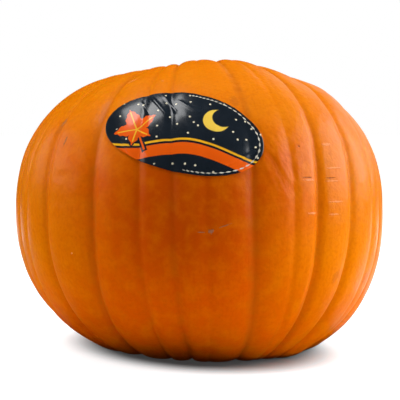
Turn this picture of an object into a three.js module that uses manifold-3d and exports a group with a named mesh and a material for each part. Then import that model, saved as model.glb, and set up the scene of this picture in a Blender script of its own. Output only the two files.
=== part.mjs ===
// A ripe orange carving pumpkin: one ribbed fruit that leans back a little on a flat spot, the dry
// stub of its stem in the hollow at the crown, and a film label that lies on its front.
// Millimetres and degrees, +Z up, the front of the fruit towards -Y. The origin is on the surface
// that the fruit rests on, under the middle of the fruit.

import * as THREE from 'three';
import { mergeVertices } from 'three/addons/utils/BufferGeometryUtils.js';
import Module from 'manifold-3d';

// ---------------------------------------------------------------- driving dimensions

// The fruit, in its own frame: its growth axis is Z, and its widest ring is at height 0.
const fruit = {
  radius: 139.0, //        from the axis to the widest ring, before the grooves
  crownHeight: 114.0, //     from the widest ring to the crown, before the stem hollow
  baseHeight: 122.1, //      from the widest ring to the blossom end, before the flat spot
  crownSquareness: 2.25, // 2 is an ellipse, and more is squarer at the shoulders
  baseSquareness: 2.34,
  stemHollow: { depth: 34, width: 34, power: 2 }, // the power is 2 for a bell, and more for a pan
  blossomDimple: { depth: 24, width: 52, power: 4 },
  crownShift: { x: -4, y: 22 }, // the crown sits this far to the side of the axis
  crownOval: { share: 0.044, towards: 15.5 }, // the shoulders are a little oval, to this azimuth
  crownSwell: { share: 0.011, towards: 183 }, // and swell a little towards this one
  baseSwell: { share: 0.046, towards: 79 },
  grooveStart: 20, //      the grooves fade out this near to the axis
};

// Where the flesh stands out or sinks locally: a bell of this half width in degrees.
const lumps = [
  { azimuth: -27, elevation: 57, halfWidth: 8, height: 0.4 },
  { azimuth: 17, elevation: 67, halfWidth: 9, height: 1.3 },
  { azimuth: 76, elevation: 58, halfWidth: 7, height: -9.5 },
  { azimuth: 64, elevation: 45, halfWidth: 8, height: 2.4 },
  { azimuth: 49, elevation: -62, halfWidth: 6, height: 1 },
  { azimuth: 73, elevation: -52, halfWidth: 8, height: -1.8 },
  { azimuth: -102, elevation: 46, halfWidth: 14, height: 1.2 },
];

// How deep the grooves run in each region, as shares of their depth at the widest ring.
const grooveShares = {
  shoulderLoss: 0.6, //    lost half way up the shoulders
  base: 0.85,
  stem: 0.8, //            added close to the stem,
  stemReach: 36, //        within about this distance of the axis
};

// How it stands: the growth axis leans, and the weight has pressed a flat spot on the base.
const leanBack = 3.8;
const leanLeft = 0.5;
const flatSpot = 17.1; //    how far the flat spot cuts into the base
const restHeight = fruit.baseHeight - flatSpot; // the widest ring stands this high

// The grooves between the lobes, in order round the fruit. An azimuth of 0 is the front, and it
// grows towards +X. crown and base say how far the groove has turned where it reaches each end.
const grooves = [
  { azimuth: -76, depth: 3.5, width: 4.5, crown: 0, base: -9 },
  { azimuth: -65, depth: 1.5, width: 3.5, crown: 2, base: -6 },
  { azimuth: -52.5, depth: 2.9, width: 4.2, crown: -4, base: -1 },
  { azimuth: -32.9, depth: 4.4, width: 4.5, crown: -2.5, base: -5.5 },
  { azimuth: -17.5, depth: 2.5, width: 3.5, crown: -3, base: 0 },
  { azimuth: -7.6, depth: 3, width: 3.6, crown: -4, base: 3 },
  { azimuth: 1.9, depth: 0.8, width: 3.2, crown: 0, base: 4 },
  { azimuth: 15.4, depth: 4.2, width: 4.5, crown: 1, base: 7.5 },
  { azimuth: 27.9, depth: 1.1, width: 3.6, crown: 0, base: 4.5 },
  { azimuth: 37.4, depth: 3.7, width: 3.8, crown: 6.6, base: -0.5 },
  { azimuth: 52.2, depth: 2.9, width: 4, crown: 5.4, base: -8 },
  { azimuth: 65, depth: 1.5, width: 3.5, crown: 6, base: -5.5 },
  { azimuth: 77, depth: 3.5, width: 4.5, crown: 1, base: -13 },
  { azimuth: 91, depth: 1.5, width: 3.5, crown: 0, base: -8 },
  { azimuth: 106, depth: 3.5, width: 4.5, crown: 0, base: -4 },
  { azimuth: 121, depth: 1.5, width: 3.5, crown: 3, base: 0 },
  { azimuth: 136, depth: 3.8, width: 4.5, crown: -2, base: 2 },
  { azimuth: 152, depth: 1.5, width: 3.5, crown: 0, base: 0 },
  { azimuth: 168, depth: 3.5, width: 4.5, crown: 4, base: -3 },
  { azimuth: 184, depth: 1.5, width: 3.5, crown: 0, base: 0 },
  { azimuth: 200, depth: 3.8, width: 4.5, crown: -3, base: 4 },
  { azimuth: 216, depth: 1.5, width: 3.5, crown: 0, base: 2 },
  { azimuth: 232, depth: 3.5, width: 4.5, crown: 2, base: 0 },
  { azimuth: 248, depth: 1.5, width: 3.5, crown: 0, base: -3 },
  { azimuth: 265, depth: 3.5, width: 4.5, crown: 1, base: -6 },
];

// The stem stub, from the floor of the hollow up.
const stem = {
  height: 23,
  sunk: 6, //              the foot starts this far below the floor, and the skin cuts it off
  foot: 16, //             radius where it flares into the skin
  waist: 10.5,
  cutEnd: 12.5,
  cutDish: 2, //           the cut end dries into a shallow dish
  ridges: 5,
  ridgeHeight: 0.16, //    as a share of the radius
  leanBack: 6, //          further than the growth axis
  stepsPerRidge: 8,
};

// The label: a thin film whose outline is an oval with uneven ends, laid over the front.
const label = {
  azimuth: -10,
  elevation: 23.3,
  tilt: -11.7, //          its long axis falls towards +X
  halfLength: 56.2,
  halfHeight: 30.8,
  egg: { along: 0.15, up: 0.156 }, //     one end and the top edge are fuller, as shares
  corners: { along: 0.02, up: 0.01 }, //  and three corners stand out a little
  thickness: 0.5,
  spread: 135, //          the radius of the ball that the flat film is bent round
  edgeSteps: 48,
  wedge: { from: 90, to: 170 }, // it is cut out of the skin between these two distances
};

const gap = 0.3; //        clearance between pieces that touch
const stepsDown = 40; //   rings of facets from the crown to the blossom end
const lobeSteps = [0, 0.16, 0.5, 0.84]; // facets across each lobe, as shares of its width

// ---------------------------------------------------------------- the shape of the fruit

const toRadians = THREE.MathUtils.degToRad;
const turn = Math.PI * 2;

/** The azimuth of a groove, in degrees, where it crosses the ring at a polar angle. */
function grooveAzimuth(groove, polar) {
  const height = Math.cos(polar);
  const drift = height > 0 ? groove.crown : groove.base;
  return groove.azimuth + drift * height * height;
}

/** How deep the grooves would cut at the widest ring: a sharp valley at each one. */
function grooveDepth(azimuth, polar) {
  const sharpness = 0.25;
  let depth = 0;
  for (const groove of grooves) {
    const away = azimuth - grooveAzimuth(groove, polar);
    const across = THREE.MathUtils.euclideanModulo(away + 180, 360) - 180;
    const distance = Math.hypot(across / groove.width, sharpness) - sharpness;
    depth += groove.depth * Math.exp(-distance);
  }
  return depth;
}

/** The share of a groove's depth at a polar angle and a distance from the axis. */
function grooveShare(polar, out) {
  if (Math.cos(polar) < 0) {
    return 1 + (grooveShares.base - 1) * Math.cos(polar) ** 2;
  }
  const nearStem = Math.exp(-((out / grooveShares.stemReach) ** 2));
  const loss = grooveShares.shoulderLoss * Math.sin(2 * polar) ** 2;
  return 1 - loss + grooveShares.stem * nearStem;
}

/** A direction as a unit vector, from an azimuth and an elevation in degrees. */
function directionTo(azimuth, elevation) {
  const across = Math.cos(toRadians(elevation));
  return new THREE.Vector3(
    Math.sin(toRadians(azimuth)) * across,
    -Math.cos(toRadians(azimuth)) * across,
    Math.sin(toRadians(elevation)),
  );
}

/** How far the lumps stand out at a place on the skin. */
function lumpHeight(azimuth, polar) {
  const towards = directionTo(azimuth, 90 - THREE.MathUtils.radToDeg(polar));
  let height = 0;
  for (const lump of lumps) {
    const away = towards.angleTo(directionTo(lump.azimuth, lump.elevation));
    height += lump.height * Math.exp(-((away / toRadians(lump.halfWidth)) ** 2));
  }
  return height;
}

/** How much the shoulders or the base stand out at an azimuth, as a share of their distance. */
function swellShare(azimuth, crownSide) {
  const wave = ({ share, towards }, turns) => share * Math.cos(turns * toRadians(azimuth - towards));
  return crownSide ? wave(fruit.crownOval, 2) + wave(fruit.crownSwell, 1) : wave(fruit.baseSwell, 1);
}

/** A point of the skin in the fruit's own frame, lifted off it by a clearance. */
function skinPoint(azimuth, polar, clearance = 0) {
  const sine = Math.sin(polar);
  const cosine = Math.cos(polar);
  const crownSide = cosine >= 0;
  const power = crownSide ? fruit.crownSquareness : fruit.baseSquareness;
  const squared = (Math.abs(sine) ** power + Math.abs(cosine) ** power) ** (1 / power);
  let out = (fruit.radius * sine) / squared;
  let up = ((crownSide ? fruit.crownHeight : fruit.baseHeight) * cosine) / squared;

  const fade = 1 - Math.exp(-((out / fruit.grooveStart) ** 2));
  const depth = grooveDepth(azimuth, polar) * grooveShare(polar, out) - lumpHeight(azimuth, polar);
  const swell = swellShare(azimuth, crownSide) * cosine * cosine;
  const scale = 1 - (depth * fade) / fruit.radius + swell;
  out *= scale;
  up *= scale;

  const end = crownSide ? fruit.stemHollow : fruit.blossomDimple;
  const dip = end.depth * Math.exp(-((out / end.width) ** end.power));
  up += crownSide ? -dip : dip;

  const angle = toRadians(azimuth);
  const aside = crownSide ? cosine ** 4 : 0;
  const point = new THREE.Vector3(
    out * Math.sin(angle) + fruit.crownShift.x * aside,
    fruit.crownShift.y * aside - out * Math.cos(angle),
    up,
  );
  return point.setLength(point.length() + clearance);
}

/** Carries a point from the fruit's own frame to where the fruit stands. */
function stand(point) {
  point.applyAxisAngle(new THREE.Vector3(0, 1, 0), -toRadians(leanLeft));
  point.applyAxisAngle(new THREE.Vector3(1, 0, 0), -toRadians(leanBack));
  point.z += restHeight;
  return point;
}

/** The whole skin as one closed body, standing on its flat spot. */
function skinGeometry(clearance = 0) {
  const columns = [];
  grooves.forEach((groove, index) => {
    const next = grooves[(index + 1) % grooves.length];
    const wrap = index + 1 === grooves.length ? 360 : 0;
    for (const share of lobeSteps) columns.push({ groove, next, wrap, share });
  });

  const points = [stand(skinPoint(0, 0, clearance))];
  for (let ring = 1; ring < stepsDown; ring++) {
    const polar = (Math.PI * ring) / stepsDown;
    for (const { groove, next, wrap, share } of columns) {
      const from = grooveAzimuth(groove, polar);
      const to = grooveAzimuth(next, polar) + wrap;
      points.push(stand(skinPoint(from + (to - from) * share, polar, clearance)));
    }
  }
  points.push(stand(skinPoint(0, Math.PI, clearance)));
  for (const point of points) point.z = Math.max(point.z, -clearance);

  const around = columns.length;
  const at = (ring, column) => 1 + (ring - 1) * around + (column % around);
  const last = points.length - 1;
  const faces = [];
  for (let column = 0; column < around; column++) {
    faces.push(0, at(1, column), at(1, column + 1));
    faces.push(last, at(stepsDown - 1, column + 1), at(stepsDown - 1, column));
    for (let ring = 1; ring < stepsDown - 1; ring++) {
      faces.push(at(ring, column), at(ring + 1, column), at(ring + 1, column + 1));
      faces.push(at(ring, column), at(ring + 1, column + 1), at(ring, column + 1));
    }
  }
  const geometry = new THREE.BufferGeometry().setFromPoints(points);
  geometry.setIndex(faces);
  return geometry;
}

// ---------------------------------------------------------------- joins and cuts

const wasm = await Module();
wasm.setup();

/** A three.js geometry as a solid that can be cut. */
function solidFrom(geometry) {
  const bare = geometry.clone();
  bare.deleteAttribute('normal');
  bare.deleteAttribute('uv');
  const merged = mergeVertices(bare);
  return new wasm.Manifold(
    new wasm.Mesh({
      numProp: 3,
      vertProperties: new Float32Array(merged.attributes.position.array),
      triVerts: new Uint32Array(merged.index.array),
    }),
  );
}

/** A solid back as a three.js geometry. */
function geometryFrom(solid) {
  const mesh = solid.getMesh();
  const geometry = new THREE.BufferGeometry();
  geometry.setAttribute('position', new THREE.BufferAttribute(mesh.vertProperties, 3));
  geometry.setIndex(new THREE.BufferAttribute(mesh.triVerts, 1));
  return geometry;
}

// ---------------------------------------------------------------- the stem stub

/** A fluted stub with a flared foot that the skin is cut away from, and a dished cut end. */
function stemGeometry() {
  const { height, sunk, foot, waist, cutEnd, cutDish, ridges, ridgeHeight } = stem;
  const profile = [
    [0, -sunk], [foot + 4, -sunk], [foot, height * 0.1], [waist + 1.5, height * 0.3],
    [waist, height * 0.55], [cutEnd - 0.5, height * 0.85], [cutEnd, height * 0.95],
    [cutEnd - 1, height], [cutEnd * 0.5, height - cutDish * 0.6], [0, height - cutDish],
  ].map(([out, up]) => new THREE.Vector2(out, up));
  const geometry = new THREE.LatheGeometry(profile, ridges * stem.stepsPerRidge);

  const floor = fruit.crownHeight - fruit.stemHollow.depth;
  const position = geometry.attributes.position;
  const point = new THREE.Vector3();
  for (let index = 0; index < position.count; index++) {
    point.fromBufferAttribute(position, index);
    const angle = Math.atan2(point.z, point.x);
    const fluted = 1 + ridgeHeight * Math.cos(ridges * angle);
    point.set(point.x * fluted, -point.z * fluted, point.y);
    point.applyAxisAngle(new THREE.Vector3(1, 0, 0), -toRadians(stem.leanBack));
    point.add(new THREE.Vector3(fruit.crownShift.x, fruit.crownShift.y, floor));
    stand(point);
    position.setXYZ(index, point.x, point.y, point.z);
  }
  const cut = solidFrom(geometry).subtract(solidFrom(skinGeometry(gap)));
  return geometryFrom(cut);
}

// ---------------------------------------------------------------- the label

/** The label's outline: how far its edge is from its middle, at an angle from its long axis. */
function labelReach(angle) {
  const { halfLength, halfHeight, egg, corners } = label;
  const oval = 1 / Math.hypot(Math.cos(angle) / halfLength, Math.sin(angle) / halfHeight);
  const fuller = egg.along * Math.cos(angle) + egg.up * Math.sin(angle);
  const angular = corners.along * Math.cos(3 * angle) + corners.up * Math.sin(3 * angle);
  return oval * (1 + fuller + angular);
}

/** Bends the flat film round the fruit: a place on the film and a distance from the middle. */
function labelPoint(right, up, distance) {
  const outward = directionTo(label.azimuth, label.elevation);
  const rightward = directionTo(label.azimuth + 90, 0);
  const upward = new THREE.Vector3().crossVectors(outward, rightward);
  const along = rightward.multiplyScalar(right).add(upward.multiplyScalar(up));
  const bend = along.length() / label.spread;
  return outward
    .multiplyScalar(Math.cos(bend))
    .add(along.setLength(Math.sin(bend)))
    .multiplyScalar(distance);
}

/** The film: a wedge through the outline, kept only between two copies of the grown skin. */
function labelGeometry() {
  const tilt = toRadians(label.tilt);
  const edge = [];
  for (let step = 0; step < label.edgeSteps; step++) {
    const angle = (turn * step) / label.edgeSteps;
    const reach = labelReach(angle);
    edge.push(new THREE.Vector2(reach * Math.cos(angle + tilt), reach * Math.sin(angle + tilt)));
  }
  const wedge = new THREE.ExtrudeGeometry(new THREE.Shape(edge), {
    depth: label.wedge.to - label.wedge.from,
    bevelEnabled: false,
  });
  const position = wedge.attributes.position;
  for (let index = 0; index < position.count; index++) {
    const distance = label.wedge.from + position.getZ(index);
    const point = stand(labelPoint(position.getX(index), position.getY(index), distance));
    position.setXYZ(index, point.x, point.y, point.z);
  }
  const outer = solidFrom(skinGeometry(gap + label.thickness));
  const inner = solidFrom(skinGeometry(gap));
  return geometryFrom(solidFrom(wedge).intersect(outer).subtract(inner));
}

// ---------------------------------------------------------------- the parts

/** A named mesh with one plain finish. */
function part(name, geometry, color, roughness) {
  geometry.computeVertexNormals();
  const mesh = new THREE.Mesh(
    geometry,
    new THREE.MeshStandardMaterial({ color, roughness, metalness: 0 }),
  );
  mesh.name = name;
  return mesh;
}

const pumpkin = new THREE.Group();
pumpkin.add(
  part('fruit', skinGeometry(), 0xd9700f, 0.42),
  part('stem', stemGeometry(), 0x7d7146, 0.85),
  part('front_label', labelGeometry(), 0x1f242c, 0.2),
);

export default pumpkin;
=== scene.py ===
"""A ripe orange carving pumpkin with a dry stem stub and a printed film label, on a pale floor."""

import math

import bpy
import numpy as np
from mathutils import Matrix, Vector


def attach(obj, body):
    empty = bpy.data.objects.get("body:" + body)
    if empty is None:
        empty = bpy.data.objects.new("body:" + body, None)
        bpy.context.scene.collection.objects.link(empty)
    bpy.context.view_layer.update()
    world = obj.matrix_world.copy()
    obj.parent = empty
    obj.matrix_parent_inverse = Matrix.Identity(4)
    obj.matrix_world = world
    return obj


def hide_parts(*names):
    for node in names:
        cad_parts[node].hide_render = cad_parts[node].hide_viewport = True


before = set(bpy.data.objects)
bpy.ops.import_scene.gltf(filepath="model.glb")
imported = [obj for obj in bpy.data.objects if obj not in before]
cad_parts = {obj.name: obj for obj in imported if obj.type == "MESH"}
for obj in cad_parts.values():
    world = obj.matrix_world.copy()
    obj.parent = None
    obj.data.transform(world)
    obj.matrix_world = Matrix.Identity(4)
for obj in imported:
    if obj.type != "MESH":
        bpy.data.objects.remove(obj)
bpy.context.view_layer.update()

# ---------------------------------------------------------------- the camera
# A long lens from a little above the fruit's middle, as for a catalogue picture. The fruit sits
# a touch left of the middle of the frame and below it, which is what the two shifts give.

mm = 0.001
middle_height = 105 * mm  # how high the fruit's widest ring stands
camera_distance = 1100 * mm
camera_elevation = math.radians(5)

camera = bpy.data.objects.new("camera", bpy.data.cameras.new("camera"))
bpy.context.collection.objects.link(camera)
bpy.context.scene.camera = camera
camera.data.lens = 131.8
camera.data.shift_x = 0.0014
camera.data.shift_y = 0.0163
camera.location = (
    0,
    -camera_distance * math.cos(camera_elevation),
    middle_height + camera_distance * math.sin(camera_elevation),
)
camera.rotation_euler = (math.pi / 2 - camera_elevation, 0, 0)

# ---------------------------------------------------------------- the fruit
# The fruit is one grown body: lobes of firm flesh under a thin waxy rind, drawn in at the crown
# where the stem feeds it and at the blossom end. Its weight presses a small flat spot on the base.

radius = 139.0 * mm
crown_height = 114.0 * mm
base_height = 122.1 * mm
crown_squareness, base_squareness = 2.25, 2.34  # 2 is an ellipse, and more is squarer
stem_hollow_depth, stem_hollow_width = 34 * mm, 34 * mm
dimple_depth, dimple_width = 24 * mm, 52 * mm
crown_oval, crown_oval_towards = 0.044, 15.5  # a share of the radius, and degrees
crown_swell, crown_swell_towards = 0.011, 183
crown_shift = (-4 * mm, 22 * mm)  # how far the crown sits to the side of the axis
base_swell, base_swell_towards = 0.046, 79
shoulder_loss = 0.6  # the share of their depth that the grooves lose half way up the shoulders
base_share = 0.85  # how deep they are at the base, next to the widest ring
stem_share, stem_reach = 0.8, 36 * mm  # and how much deeper they get near the stem
groove_start = 20 * mm  # the grooves fade out this near to the axis
lean_back = math.radians(3.8)
lean_left = math.radians(0.5)
flat_spot_edge = 5 * mm  # the skin turns up from the flat spot over this height
swell_size, swell_height = 65 * mm, 0.5 * mm  # slow relief of the flesh, and half its range
wave_size, wave_height = 21 * mm, 0.25 * mm  # and the quicker one on it
relief_sunk = 0.25 * mm  # how much lower the whole skin lies
dent_size = 6 * mm  # the hammered dents in the skin
dents_everywhere = 0.06  # their mean depth outside the patches below, in mm

# Each groove between two lobes: its azimuth at the widest ring (0 is the front, + towards +X), its
# depth in mm, its width in degrees, how far it has turned where it reaches the crown and the base,
# how much steeper its wall towards +X is than the other, and the depth of the fine crease in it.
grooves = np.array([
    (-76, 3.5, 4.5, 0, -9, 0.0, 0.8),
    (-65, 1.5, 3.5, 2, -6, 0.0, 0.3),
    (-52.5, 2.9, 4.2, -4, -1, 0.1, 1.5),
    (-32.9, 4.4, 4.5, -2.5, -5.5, 0.1, 1.2),
    (-17.5, 2.5, 3.5, -3, 0, 0.35, 1.0),
    (-7.6, 3.0, 3.6, -4, 3, 0.1, 1.1),
    (1.9, 0.8, 3.2, 0, 4, -0.2, 0.4),
    (15.4, 4.2, 4.5, 1, 7.5, 0.15, 0.5),
    (27.9, 1.1, 3.6, 0, 4.5, 0.25, 0.6),
    (37.4, 3.7, 3.8, 6.6, -0.5, -0.1, 2.1),
    (52.2, 2.9, 4.0, 5.4, -8, 0.0, 1.9),
    (65, 1.5, 3.5, 6, -5.5, 0.0, 0.3),
    (77, 3.5, 4.5, 1, -13, 0.0, 0.8),
    (91, 1.5, 3.5, 0, -8, 0.0, 0.3),
    (106, 3.5, 4.5, 0, -4, 0.1, 0.9),
    (121, 1.5, 3.5, 3, 0, 0.0, 0.3),
    (136, 3.8, 4.5, -2, 2, -0.2, 1.0),
    (152, 1.5, 3.5, 0, 0, 0.0, 0.4),
    (168, 3.5, 4.5, 4, -3, 0.0, 0.9),
    (184, 1.5, 3.5, 0, 0, 0.0, 0.3),
    (200, 3.8, 4.5, -3, 4, 0.2, 1.1),
    (216, 1.5, 3.5, 0, 2, 0.0, 0.3),
    (232, 3.5, 4.5, 2, 0, -0.1, 0.9),
    (248, 1.5, 3.5, 0, -3, 0.0, 0.4),
    (265, 3.5, 4.5, 1, -6, 0.0, 0.9),
])
crease_width = 1.3  # degrees

# Where the flesh stands out or sinks locally: azimuth and elevation, half width in degrees, and
# height in mm.
lumps = [(-27, 57, 8, 0.4), (17, 67, 9, 1.3), (76, 58, 7, -9.5), (64, 45, 8, 2.4),
         (49, -62, 6, 1), (73, -52, 8, -1.8), (-102, 46, 14, 1.2)]


def direction_to(azimuth_degrees, elevation_degrees):
    """The unit vector from the fruit's middle towards an azimuth and elevation, in its own frame:
    the azimuth's sine and minus its cosine, both times cos(elevation), and sin(elevation)."""
    a, e = np.radians(azimuth_degrees), np.radians(elevation_degrees)
    return np.stack([np.sin(a) * np.cos(e), -np.cos(a) * np.cos(e), np.sin(e)], axis=-1)


def bump_at(directions, azimuth_degrees, elevation_degrees, half_width):
    """A round bell curve on the ball of directions, from 0 to 1. The half width is in degrees."""
    middle = direction_to(azimuth_degrees, elevation_degrees)
    apart = np.degrees(np.arccos(np.clip(directions @ middle, -1, 1)))
    return np.exp(-((apart / half_width) ** 2))


def cloud(points, size, seed):
    """Smooth noise from -1 to 1: random values on a cubic lattice of the given step, blended from
    the eight corners round a point by the smoothstep of its place between them."""
    values = np.random.default_rng(seed).uniform(-1, 1, (32, 32, 32))
    corner = np.floor(points / size).astype(int)
    share = points / size - corner
    share = share * share * (3 - 2 * share)
    total = np.zeros(points.shape[:-1])
    for side in np.ndindex(2, 2, 2):
        weight = np.prod(np.where(side, share, 1 - share), axis=-1)
        total += weight * values[tuple(np.moveaxis((corner + side) % 32, -1, 0))]
    return total


def groove_azimuths(polar):
    """Azimuth of every groove, in degrees, at a polar angle: its azimuth at the widest ring, plus
    its drift to the nearer end times the square of the cosine of the polar angle."""
    height = np.cos(polar)[..., None]
    drift = np.where(height > 0, grooves[:, 3], grooves[:, 4])
    return grooves[:, 0] + drift * height**2


def valleys(azimuth, polar):
    """Two arrays: how deep the grooves cut in metres, and how near a place is to a groove's floor,
    which is 1 on the floor of a strong groove. A valley's depth falls as exp(-distance) in groove
    widths, rounded at its floor."""
    across = (azimuth[..., None] - groove_azimuths(polar) + 180) % 360 - 180
    width = grooves[:, 2] * (1 - grooves[:, 5] * np.tanh(across / 2))
    floor_round, floor_sharpness = 0.25, 4
    strong_groove = 3.8  # mm deep
    distance = np.hypot(across / width, floor_round) - floor_round
    crease = grooves[:, 6] * np.exp(-((across / crease_width) ** 2))
    depth = np.sum(grooves[:, 1] * np.exp(-distance) + crease, axis=-1) * mm
    near = np.exp(-((across / width) ** 2) * floor_sharpness)
    return depth, np.max(grooves[:, 1] / strong_groove * near, axis=-1)


def skin(azimuth, polar, groove_share=1.0):
    """A point of the skin in the fruit's own frame. The polar form of a superellipse gives how far
    out and up it is. The grooves, a slow swell and the relief of the flesh scale both, and a bell
    curve sinks the crown and the blossom end."""
    sine, cosine = np.sin(polar), np.cos(polar)
    crown = cosine >= 0
    power = np.where(crown, crown_squareness, base_squareness)
    squared = (np.abs(sine) ** power + np.abs(cosine) ** power) ** (1 / power)
    out = radius * sine / squared
    up = np.where(crown, crown_height, base_height) * cosine / squared

    fade = 1 - np.exp(-((out / groove_start) ** 2))
    near_stem = stem_share * np.exp(-((out / stem_reach) ** 2))
    end_share = np.where(crown, 1 - shoulder_loss * np.sin(2 * polar) ** 2 + near_stem,
                         1 + (base_share - 1) * cosine**2)
    depth = valleys(azimuth, polar)[0] * end_share * fade * groove_share
    angle = np.radians(azimuth)
    oval = crown_oval * np.cos(2 * (angle - np.radians(crown_oval_towards)))
    oval = oval + crown_swell * np.cos(angle - np.radians(crown_swell_towards))
    swell = base_swell * np.cos(angle - np.radians(base_swell_towards))
    rough = np.stack([out * np.sin(angle), -out * np.cos(angle), up], axis=-1)
    relief = swell_height * (cloud(rough, swell_size, 1) - 1) - relief_sunk
    relief = relief + wave_height * (cloud(rough, wave_size, 2) - 1)
    rough = direction_to(azimuth, 90 - np.degrees(polar))
    for lump_azimuth, lump_elevation, half_width, height in lumps:
        relief = relief + height * mm * bump_at(rough, lump_azimuth, lump_elevation, half_width)
    scale = 1 - (depth - relief * fade) / radius + np.where(crown, oval, swell) * cosine**2
    out, up = out * scale, up * scale

    dip = stem_hollow_depth * np.exp(-((out / stem_hollow_width) ** 2))
    rise = dimple_depth * np.exp(-((out / dimple_width) ** 4))
    up = up + np.where(crown, -dip, rise)
    aside = crown * cosine**4
    x = out * np.sin(angle) + crown_shift[0] * aside
    y = -out * np.cos(angle) + crown_shift[1] * aside
    return np.stack([x, y, up], axis=-1)


def stand(points):
    """Carries points from the fruit's own frame to where it stands: leaned to the left and back,
    lifted to its rest height, and pressed flat at the floor along a smooth parabola."""
    x, y, z = np.moveaxis(points, -1, 0)
    x, z = (x * math.cos(lean_left) - z * math.sin(lean_left),
            x * math.sin(lean_left) + z * math.cos(lean_left))
    y, z = (y * math.cos(lean_back) + z * math.sin(lean_back),
            z * math.cos(lean_back) - y * math.sin(lean_back))
    z = z + middle_height
    edge = flat_spot_edge
    z = np.where(z < -edge, 0, np.where(z > edge, z, (z + edge) ** 2 / (4 * edge)))
    return np.stack([x, y, z], axis=-1)


def surface(name, points, uv, around=False, ends=()):
    """A smooth mesh over a grid of points, with a UV map of the same grid. Around joins the last
    column to the first, and ends are the single points that close the first and last row."""
    rows, columns = points.shape[:2]
    corners = [(0, 0), (1, 0), (1, 1), (0, 1)]
    cells = (rows - 1, columns if around else columns - 1)

    def faces_of(index):
        """The four corners of every cell, out of a grid of numbers."""
        return np.stack([index[r:r + cells[0], c:c + cells[1]] for r, c in corners], axis=-1)

    index = np.arange(rows * columns).reshape(rows, columns)
    if around:
        index = np.concatenate([index, index[:, :1]], axis=1)
    quads = faces_of(index).reshape(-1, 4)
    coords = [points.reshape(-1, 3)]
    uv_corners = [np.stack([faces_of(uv[..., k]) for k in (0, 1)], axis=-1).reshape(-1, 2)]
    fans = []
    for number, (end, row) in enumerate(zip(ends, (0, -1))):
        pole = np.full(columns, rows * columns + number)
        left, right = index[row, :-1], index[row, 1:]
        fans.append(np.stack([pole, left, right] if row == 0 else [pole, right, left], axis=-1))
        coords.append(np.asarray(end).reshape(1, 3))
        sides = [uv[row, :-1], uv[row, 1:]] if row == 0 else [uv[row, 1:], uv[row, :-1]]
        tip = np.stack([uv[row, :-1, 0], np.full(columns, 0.0 if row else 1.0)], axis=-1)
        uv_corners.append(np.stack([tip, *sides], axis=1).reshape(-1, 2))

    mesh = bpy.data.meshes.new(name)
    faces = quads.tolist() + [face for fan in fans for face in fan.tolist()]
    mesh.from_pydata(np.concatenate(coords).tolist(), [], faces)
    layer = mesh.uv_layers.new(name="surface")
    layer.data.foreach_set("uv", np.concatenate(uv_corners).astype(np.float32).ravel())
    mesh.shade_smooth()
    piece = bpy.data.objects.new(name, mesh)
    bpy.context.collection.objects.link(piece)
    return piece


def attribute(piece, name, values):
    """Stores one number for each vertex, for the piece's material to read."""
    layer = piece.data.attributes.new(name, "FLOAT", "POINT")
    layer.data.foreach_set("value", np.asarray(values, dtype=np.float32).ravel())


# The grid's columns run along the grooves and crowd towards them, and its rows go from the crown
# to the blossom end.
columns_per_lobe = 18
rows_down = 214
lobe_share = (1 - np.cos(np.pi * np.arange(columns_per_lobe) / columns_per_lobe)) / 2
polar = (np.pi * np.arange(1, rows_down) / rows_down)[:, None]
paths = groove_azimuths(polar[:, 0])
next_paths = np.concatenate([paths[:, 1:], paths[:, :1] + 360], axis=1)
azimuth = (paths[..., None] + (next_paths - paths)[..., None] * lobe_share).reshape(len(polar), -1)
polar = np.broadcast_to(polar, azimuth.shape)

fruit_points = skin(azimuth, polar)
direction = fruit_points / np.linalg.norm(fruit_points, axis=-1, keepdims=True)
# Patches of hammered skin: azimuth, elevation and half width in degrees, and how much deeper the
# dents are on average, in mm.
patches = [(22, 16, 16, 0.34), (-41, 13, 12, 0.5), (60, 25, 18, 0.3)]
hammered = np.full(azimuth.shape, dents_everywhere)
for patch_azimuth, patch_elevation, patch_size, strength in patches:
    hammered += strength * bump_at(direction, patch_azimuth, patch_elevation, patch_size)
dents = hammered * (cloud(fruit_points, dent_size, 3) - 1) * mm
fruit_points = fruit_points + direction * dents[..., None]

ends = [stand(skin(np.zeros(1), np.full(1, angle))[0]) for angle in (0.0, np.pi)]
column_uv = np.append(azimuth[len(azimuth) // 2], azimuth[len(azimuth) // 2, 0] + 360) / 360 + 0.25
row_uv = 1 - np.arange(1, rows_down) / rows_down
fruit_uv = np.stack(np.meshgrid(column_uv, row_uv), axis=-1)
fruit = surface("pumpkin_fruit", stand(fruit_points), fruit_uv, around=True, ends=ends)
attribute(fruit, "groove", np.append(valleys(azimuth, polar)[1].ravel(), [0, 0]))


def srgb(code):
    """A colour written as sRGB hex, as linear red, green, blue and alpha."""
    values = np.array([int(code[i:i + 2], 16) for i in (1, 3, 5)]) / 255
    linear = np.where(values <= 0.04045, values / 12.92, ((values + 0.055) / 1.055) ** 2.4)
    return (*linear.tolist(), 1.0)


def add(tree, kind, sockets, out=0, **settings):
    """Adds a node with its settings, sets or links its sockets, and returns one of its outputs."""
    made = tree.nodes.new("ShaderNode" + kind)
    for name, value in settings.items():
        setattr(made, name, value)
    for socket, value in sockets.items():
        if isinstance(value, bpy.types.NodeSocket):
            tree.links.new(value, made.inputs[socket])
        else:
            made.inputs[socket].default_value = value
    return made.outputs[out] if len(made.outputs) else made


def new_material(name):
    """An empty node material and its tree."""
    material = bpy.data.materials.new(name)
    material.use_nodes = True
    material.node_tree.nodes.clear()
    return material, material.node_tree


def azimuth_elevation(places):
    """The azimuth and elevation, in radians, of places as seen from the fruit's middle."""
    x, y, z = np.moveaxis(places, -1, 0)
    return np.arctan2(x, -y), np.arctan2(z, np.hypot(x, y))


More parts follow.
